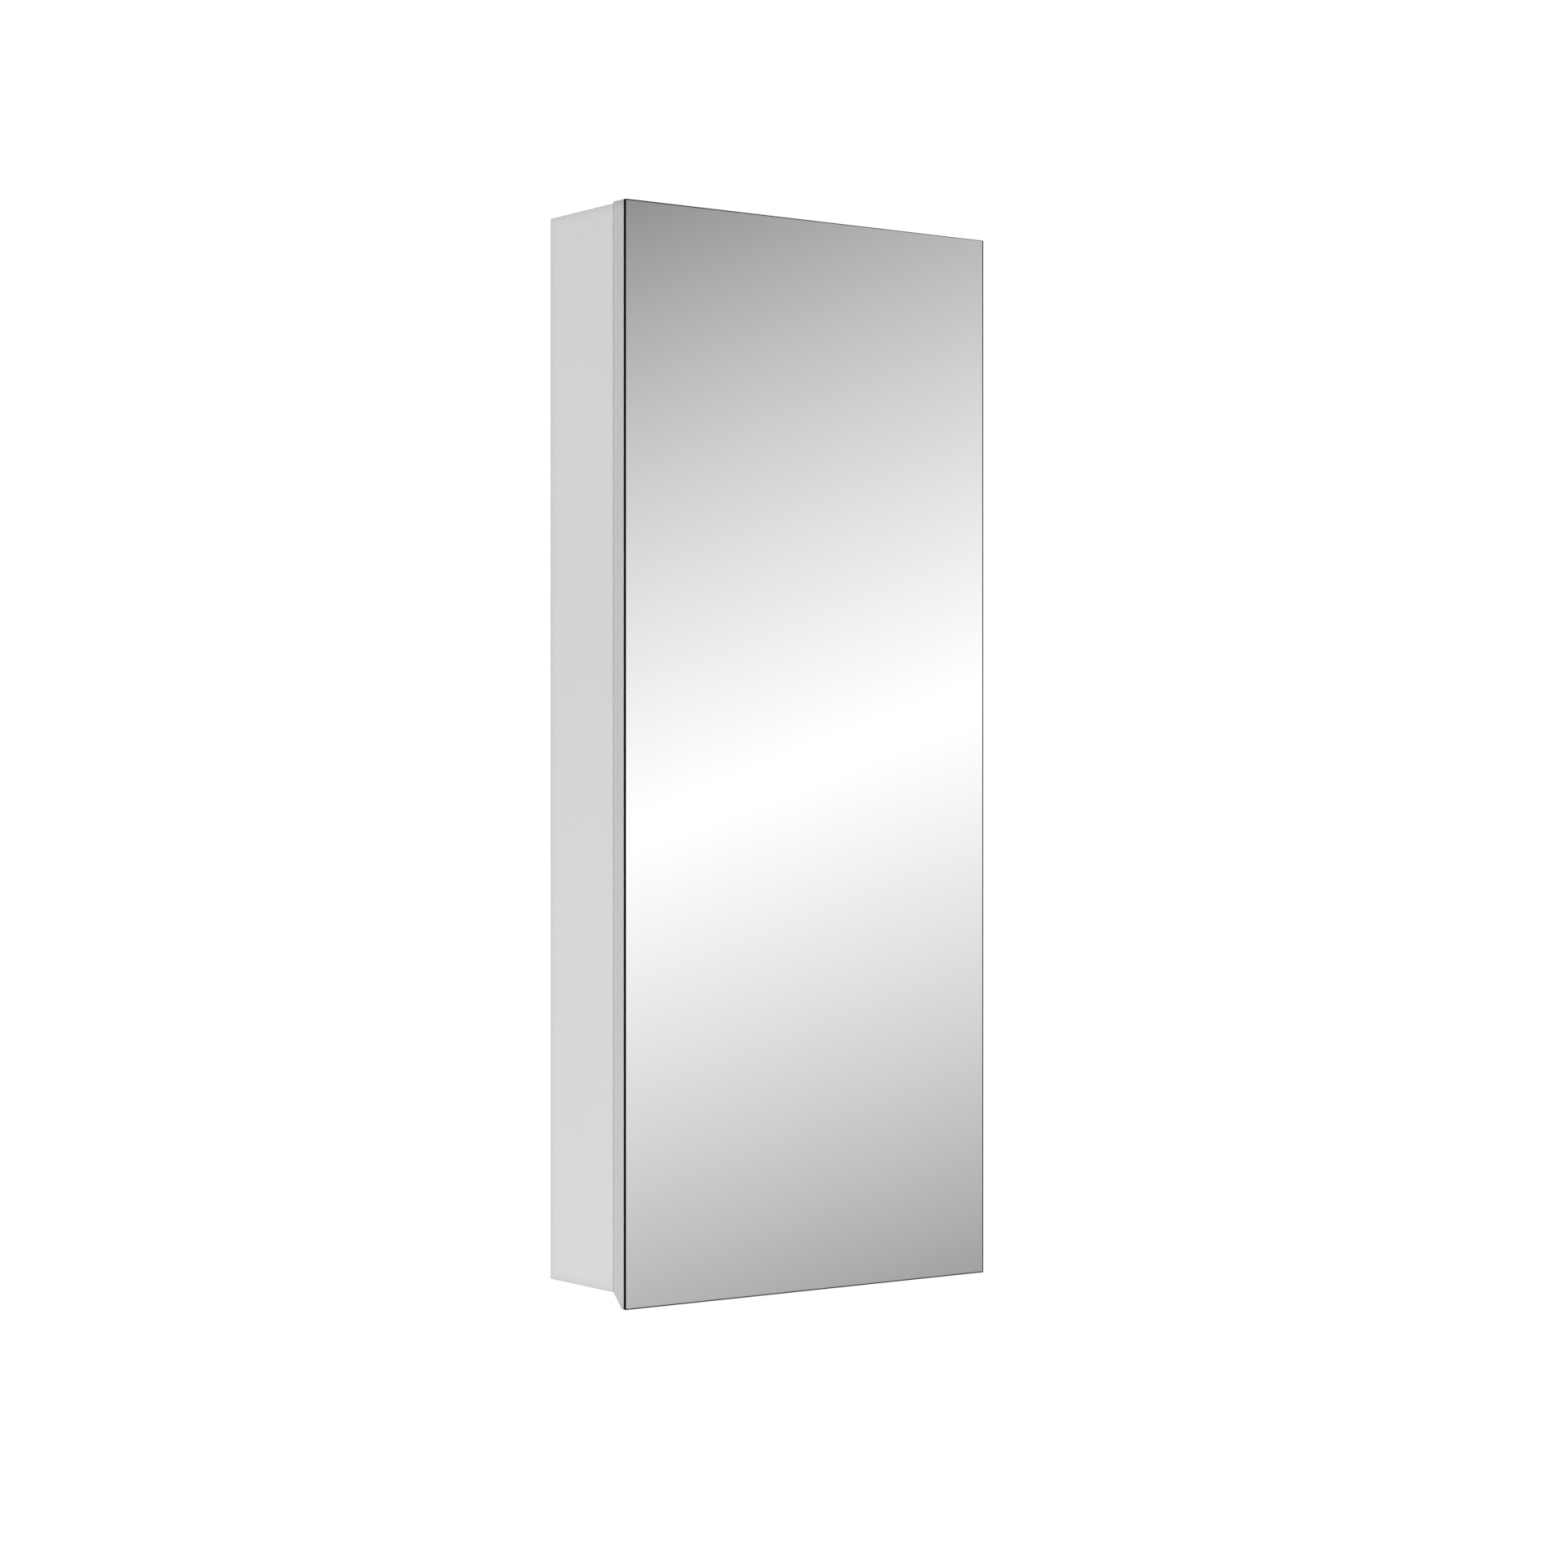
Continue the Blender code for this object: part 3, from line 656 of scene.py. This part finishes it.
for end, up in ENDS.items():
    for row in ROWS:
        node = f"plate_screw_{end}_{row}"
        low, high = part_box(node)
        head = Vector(((low.x + high.x) / 2, (low.y + high.y) / 2, high.z if up > 0 else low.z))
        turn = Matrix.Rotation(REAR_SCREW_TURN if row == "rear" else FRONT_SCREW_TURN, 4, "Z")
        places.append((f"screw_plate_{end}_{row}", standing(head, (0, 0, up)) @ turn, node))
set_copies(screw, PLATED, "casing", places)
places = []
for end, up in ENDS.items():
    node = f"block_screw_{end}"
    low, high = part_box(node)
    head = Vector((high.x, (low.y + high.y) / 2, (low.z + high.z) / 2))
    turn = Matrix.Rotation(BLOCK_SCREW_TURN, 4, "Z")
    places.append((f"screw_block_{end}", standing(head, (1, 0, 0)) @ turn, node))
set_copies(spare, PLATED, "door", places)

# ---------------------------------------------------------------------------------------------
# Magnet catches. Ribbed nylon barrels pressed into the front edge of the left side panel, each
# with a round ferrite magnet set a little below its rim.
FERRITE = metal("ferrite", (0.10, 0.10, 0.105), 0.45, 0.00003, 700.0)
MAGNET_SEAT = 0.0012  # how deep in the barrel the magnet sits
for end in ENDS:
    node = f"magnet_catch_{end}"
    low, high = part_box(node)
    radius = (high.x - low.x) / 2
    length = high.y - low.y
    rim = Vector(((low.x + high.x) / 2, low.y, (low.z + high.z) / 2))
    barrel_rings = [
        (radius - 0.0010, -length),
        (radius - 0.0004, -length + 0.0008),
        (radius - 0.0004, -0.0012),
        (radius, -0.0010),
        (radius, -0.0002),
        (radius - 0.0002, 0.0),
        (radius - 0.0009, 0.0),
        (radius - 0.0010, -MAGNET_SEAT),
        (0.0003, -MAGNET_SEAT),
    ]
    barrel = ring_stack("barrel_model", barrel_rings, 40)
    outward = standing(rim, (0, -1, 0))
    set_copies(barrel, NYLON, "casing", [(f"catch_barrel_{end}", outward, node)])
    magnet_rings = [
        (radius - 0.0013, -MAGNET_SEAT),
        (radius - 0.0012, -0.0011),
        (radius - 0.0012, -0.0005),
        (radius - 0.0014, -0.0003),
        (0.0003, -0.0003),
    ]
    magnet = ring_stack("magnet_model", magnet_rings, 40)
    set_copies(magnet, FERRITE, "casing", [(f"catch_magnet_{end}", outward, None)])

# ---------------------------------------------------------------------------------------------
# Door board. Particle board just under 16 mm thick wrapped in a light grey foil, its lower rear edge sawn
# off at a slant for the fingers and covered by the same foil.
GREY_FOIL = (0.628, 0.628, 0.628)
# Painted shade: how much darker the foil is painted toward the door's ends, from the end inward.
DOOR_END_SHADE = [(0.0, 0.76), (0.12, 0.85), (0.36, 0.90), (0.62, 0.957), (1.0, 1.0)]
low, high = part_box("door_board")
GRIP_FORWARD = 0.013
GRIP_DROP = 0.0125
slant = Vector((0, GRIP_DROP, -GRIP_FORWARD)).normalized()
slant_edge = Vector((0, high.y, low.z + GRIP_DROP))
grip_face = (slant, slant.dot(slant_edge))
refinish("door_board", faced_board("door_foil", GREY_FOIL, low, high, 0.42, DOOR_END_SHADE, grip_face))

# ---------------------------------------------------------------------------------------------
# Pivot blocks. Small zinc castings that fill the notches in the door's hinge edge, bored for the
# pins and countersunk for one screw each.
BLOCK_BORE_R = 0.0019
BLOCK_EDGE_R = 0.0008
BLOCK_HOLE_SPARE = 0.0003

for end, up in ENDS.items():
    node = f"hinge_block_{end}"
    low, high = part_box(node)
    casting = block_at(f"pivot_block_{end}", low, high)
    round_over(casting, BLOCK_EDGE_R, 3)
    deselect()
    centre = (PIVOT.x, PIVOT.y, (low.z + high.z) / 2)
    bpy.ops.mesh.primitive_cylinder_add(vertices=40, radius=BLOCK_BORE_R, depth=0.03, location=centre)
    bore = bpy.context.object
    bpy.ops.object.transform_apply(location=True, rotation=True, scale=True)
    head = middle_of(f"block_screw_{end}")
    head_r = SCREW_HEAD_R + HEAD_SPARE
    hole_r = SCREW_R + BLOCK_HOLE_SPARE
    mouth = countersink_tool(Vector((0, 0, 0)), head_r, hole_r, slant=0.0017, through=0.012)
    mouth.data.transform(standing((high.x, head.y, head.z), (1, 0, 0)))
    cut_away(casting, [bore, mouth])
    casting.data.materials.append(ZINC)
    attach(casting, "door")
    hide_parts(node)

# ---------------------------------------------------------------------------------------------
# Strike discs and bumpers. Steel discs let into the back of the door where the magnets meet it,
# and clear polyurethane stops pushed into the board to cushion the close.
CLEAR = moulded("clear_polyurethane", (0.86, 0.87, 0.86), 0.22, 0.75)
for end in ENDS:
    node = f"strike_disc_{end}"
    low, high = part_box(node)
    radius = (high.x - low.x) / 2
    thick = high.y - low.y
    face = Vector(((low.x + high.x) / 2, high.y, (low.z + high.z) / 2))
    disc_rings = [
        (radius - 0.0003, -thick),
        (radius, -thick + 0.0003),
        (radius, -0.0004),
        (radius - 0.0004, 0.0),
        (0.0022, 0.0),
        (0.0012, -0.0007),
        (0.0002, -0.0007),
    ]
    disc = ring_stack("disc_model", disc_rings, 48)
    places = [(f"strike_plate_{end}", standing(face, (0, 1, 0)), node)]
    set_copies(disc, PLATED, "door", places)
    node = f"bumper_{end}"
    low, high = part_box(node)
    radius = (high.x - low.x) / 2
    length = high.y - low.y
    face = Vector(((low.x + high.x) / 2, high.y, (low.z + high.z) / 2))
    stop_rings = [
        (0.0014, -length),
        (0.0020, -length + 0.0006),
        (0.0020, -0.0014),
        (radius - 0.0001, -0.0014),
        (radius, -0.0011),
        (radius - 0.0002, -0.0006),
        (radius - 0.0009, -0.00015),
        (radius - 0.0018, 0.0),
        (0.0002, 0.0),
    ]
    stop = ring_stack("stop_model", stop_rings, 40)
    places = [(f"door_stop_{end}", standing(face, (0, 1, 0)), node)]
    set_copies(stop, CLEAR, "door", places)

# ---------------------------------------------------------------------------------------------
# Mirror tape. A frame of thin black double-sided tape that holds the glass to the board all
# round. Its outer edge reads as part of the mirror's dark edge.
TAPE_W = 0.020
TAPE_SET_IN = 0.0001
glass_low, glass_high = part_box("mirror_glass")
inset = Vector((TAPE_SET_IN, 0, TAPE_SET_IN))
tape_low = Vector((glass_low.x, glass_high.y, glass_low.z)) + inset
tape_high = Vector((glass_high.x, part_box("door_board")[0].y, glass_high.z)) - inset
tape = block_at("mirror_tape", tape_low, tape_high)
reach = Vector((TAPE_W, -TAPE_W, TAPE_W))
cut_away(tape, [block_at("tape_opening", tape_low + reach, tape_high - reach)])
tape.data.materials.append(moulded("tape_foam", (0.012, 0.012, 0.012), 0.7))
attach(tape, "door")

# ---------------------------------------------------------------------------------------------
# Mirror. Silvered float glass 3 mm thick, as large as the door and stuck to the board. Its edges
# are ground and painted with the backing. A dark band painted on the face along the top, bottom
# and hinge edges is a painted dark reflection; along the top it narrows from the free edge to the hinge
# edge.
MIRROR_ARRIS = 0.00025
# Painted reflection: widths of the dark band painted along the top and bottom edges, then along the hinge
# edge.
PAINTED_DARK_BAND = 0.0011
HINGE_PAINTED_DARK_BAND = 0.0014
TOP_TAPER = 0.0016  # how steeply the top margin narrows
FACES_FRONT = 0.95


def silvering():
    material, tree, shader = new_finish("silvered_mirror")
    where = place_of(tree)
    stretched = wired(tree, "Mapping", {"Vector": where, "Scale": (9.0, 1.0, 2.5)}).outputs[0]
    wiped = noise(tree, stretched, 1.0, 4.0)
    tree.links.new(ramp(tree, wiped, [(0.3, 0.960), (0.7, 0.968)]), shader.inputs["Base Color"])
    tree.links.new(ramp(tree, wiped, [(0.5, 0.006), (0.8, 0.022)]), shader.inputs["Roughness"])
    shader.inputs["Metallic"].default_value = 1.0
    return material


def painted_glass(name, dark, light, roughness, gloss):
    """Glass near black with backing paint on its edge, or the paler painted dark reflection on its face."""
    material, tree, shader = new_finish(name)
    grind = noise(tree, place_of(tree), 400.0, 3.0)
    tree.links.new(ramp(tree, grind, [(0.3, dark), (0.7, light)]), shader.inputs["Base Color"])
    shader.inputs["Roughness"].default_value = roughness
    shader.inputs["Specular IOR Level"].default_value = gloss
    return material


low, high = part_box("mirror_glass")
glass = block_at("door_mirror", low, high)
round_over(glass, MIRROR_ARRIS, 2)
bpy.ops.object.mode_set(mode="EDIT")
# Cuts that mark off the painted dark reflection band along the hinge, top and bottom edges.
dark_bands = (
    ((high.x - HINGE_PAINTED_DARK_BAND, 0, 0), (1, 0, 0)),
    ((low.x, 0, high.z - PAINTED_DARK_BAND), (-TOP_TAPER, 0, 1)),
    ((0, 0, low.z + PAINTED_DARK_BAND), (0, 0, 1)),
)
for point, across in dark_bands:
    bpy.ops.mesh.select_all(action="SELECT")
    bpy.ops.mesh.bisect(plane_co=point, plane_no=across)
bpy.ops.object.mode_set(mode="OBJECT")
glass.data.materials.append(silvering())
glass.data.materials.append(painted_glass("ground_mirror_edge", 0.001, 0.003, 0.55, 0.03))
# Painted reflection: the dark band on the face along the top, bottom and hinge edges.
glass.data.materials.append(painted_glass("painted_dark_mirror_band", 0.030, 0.055, 0.30, 0.5))
SILVER, EDGE, PAINTED_DARK = range(3)
for face in glass.data.polygons:
    within_height = low.z + PAINTED_DARK_BAND < face.center.z < high.z - PAINTED_DARK_BAND
    inside = within_height and face.center.x < high.x - HINGE_PAINTED_DARK_BAND
    forward = face.normal.y < -FACES_FRONT
    face.material_index = SILVER if forward and inside else PAINTED_DARK if forward else EDGE
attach(glass, "door")
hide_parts("mirror_glass")

# ---------------------------------------------------------------------------------------------
# Studio. A pale floor well below the hung cabinet, painted to glow more toward its rim, an even
# bright room, one large soft lamp low on the left, and the camera. Glossy rays alone see the room as
# one bright band that fades to grey above and below, and the floor as a grey that pales toward its rim.
VIEW_TURN = math.radians(35.9)
FLOOR_Z = -1.35
FLOOR_R = 3.2
BAND_RISE = 0.0024
BAND_SLOPE = 0.385
BAND_TURNS = 3.0
BAND_PEAK = 1.06
BAND_FALL = 4.2  # how fast the reflected room darkens away from the band
FAR_LIGHT = 0.15
FAR_RISE = 0.5  # how fast it pales again further up
FLOOR_RIM_LIGHT = 0.9
RIM_SLOPE = 0.41  # how far below level the floor's rim is seen
DARK_SLOPE = 0.20  # and where the darkest part of the room is
FLOOR_FOOT_LIGHT = 0.38
ROOM_LIGHT = 0.715
LAMP_PLACE = (-1.5, -0.35, -0.95)
LAMP_AIM = (-0.2, -0.05, -0.2)
LAMP_SIZE = (1.2, 0.8)
LAMP_WATTS = 3.2
CAMERA_LENS = 79.8
CAMERA_PLACE = (-1.7614, -2.5101, -0.0299)

deselect()
bpy.ops.mesh.primitive_circle_add(vertices=96, radius=FLOOR_R, fill_type="NGON", location=(0, 0, FLOOR_Z))
floor = bpy.context.object
floor.name = "studio_floor"
material, tree, shader = new_finish("pale_glowing_floor")
radius = wired(tree, "VectorMath", {0: place_of(tree)}, operation="LENGTH").outputs["Value"]
share = maths(tree, "DIVIDE", radius, FLOOR_R)
shader.inputs["Base Color"].default_value = (0.86, 0.86, 0.855, 1.0)
shader.inputs["Roughness"].default_value = 0.9
shader.inputs["Specular IOR Level"].default_value = 0.1
shader.inputs["Emission Color"].default_value = (1.0, 1.0, 1.0, 1.0)
# Painted light: the floor glows, more strongly toward its rim, though it is no lamp.
glow = ramp(tree, share, [(0.1, 0.22), (0.95, 0.45)])
tree.links.new(glow, shader.inputs["Emission Strength"])
reflected_grey = ramp(tree, share, [(0.05, FLOOR_FOOT_LIGHT), (0.95, FLOOR_RIM_LIGHT)])
mirrored = wired(tree, "Emission", {"Color": reflected_grey})
glossy = wired(tree, "LightPath").outputs["Is Glossy Ray"]
either = wired(tree, "MixShader", {0: glossy, 1: shader.outputs[0], 2: mirrored.outputs[0]})
tree.links.new(either.outputs[0], tree.nodes["Material Output"].inputs["Surface"])
floor.data.materials.append(material)

world = bpy.data.worlds.new("studio")
bpy.context.scene.world = world
world.use_nodes = True
tree = world.node_tree
tree.nodes.clear()
way = wired(tree, "TexCoord").outputs["Generated"]
parts = wired(tree, "SeparateXYZ", {0: way})
level = wired(tree, "CombineXYZ", {0: parts.outputs[0], 1: parts.outputs[1], 2: 0.0}).outputs[0]
flat_length = wired(tree, "VectorMath", {0: level}, operation="LENGTH").outputs["Value"]
rise = maths(tree, "DIVIDE", parts.outputs[2], maths(tree, "MAXIMUM", flat_length, 0.001))
heading = maths(tree, "ARCTAN2", parts.outputs[0], maths(tree, "MULTIPLY", parts.outputs[1], -1.0))
off_view = maths(tree, "SUBTRACT", heading, VIEW_TURN)
swing = maths(tree, "SINE", maths(tree, "MULTIPLY", off_view, BAND_TURNS))
centre = maths(tree, "MULTIPLY", swing, BAND_SLOPE / BAND_TURNS)
band_height = maths(tree, "ADD", centre, BAND_RISE)
away = maths(tree, "ABSOLUTE", maths(tree, "SUBTRACT", rise, band_height))
band = maths(tree, "SUBTRACT", BAND_PEAK, maths(tree, "MULTIPLY", away, BAND_FALL))
above = maths(tree, "ADD", FAR_LIGHT, maths(tree, "MULTIPLY", away, FAR_RISE))
drop = maths(tree, "SUBTRACT", maths(tree, "MULTIPLY", rise, -1.0), DARK_SLOPE)
below = maths(tree, "MULTIPLY", drop, FLOOR_RIM_LIGHT / (RIM_SLOPE - DARK_SLOPE))
far = maths(tree, "MINIMUM", maths(tree, "MAXIMUM", above, below), FLOOR_RIM_LIGHT)
shaded = maths(tree, "MAXIMUM", band, far)
paths = wired(tree, "LightPath")
room = wired(tree, "Background", {"Color": (1.0, 1.0, 1.0, 1.0), "Strength": ROOM_LIGHT})
seen = wired(tree, "Background", {"Color": (1.0, 1.0, 1.0, 1.0), "Strength": 1.0})
reflected = wired(tree, "Background", {"Color": shaded, "Strength": 1.0})
glossy = paths.outputs["Is Glossy Ray"]
with_gloss = wired(tree, "MixShader", {0: glossy, 1: room.outputs[0], 2: reflected.outputs[0]})
direct = paths.outputs["Is Camera Ray"]
whole = wired(tree, "MixShader", {0: direct, 1: with_gloss.outputs[0], 2: seen.outputs[0]})
tree.links.new(whole.outputs[0], wired(tree, "OutputWorld").inputs["Surface"])


def soft_lamp(name, place, target, size, watts):
    data = bpy.data.lights.new(name, "AREA")
    data.shape = "RECTANGLE"
    data.size, data.size_y = size
    data.energy = watts
    lamp = bpy.data.objects.new(name, data)
    lamp.location = place
    lamp.rotation_euler = (Vector(target) - Vector(place)).to_track_quat("-Z", "Y").to_euler()
    bpy.context.scene.collection.objects.link(lamp)
    lamp.visible_glossy = False
    return lamp


soft_lamp("low_side_lamp", LAMP_PLACE, LAMP_AIM, LAMP_SIZE, LAMP_WATTS)

camera_data = bpy.data.cameras.new("camera")
camera_data.lens = CAMERA_LENS
camera_data.sensor_width = 36.0
camera = bpy.data.objects.new("camera", camera_data)
camera.location = CAMERA_PLACE
camera.rotation_euler = (math.pi / 2, 0.0, -VIEW_TURN)
bpy.context.scene.collection.objects.link(camera)
bpy.context.scene.camera = camera
bpy.context.scene.view_settings.view_transform = "Standard"
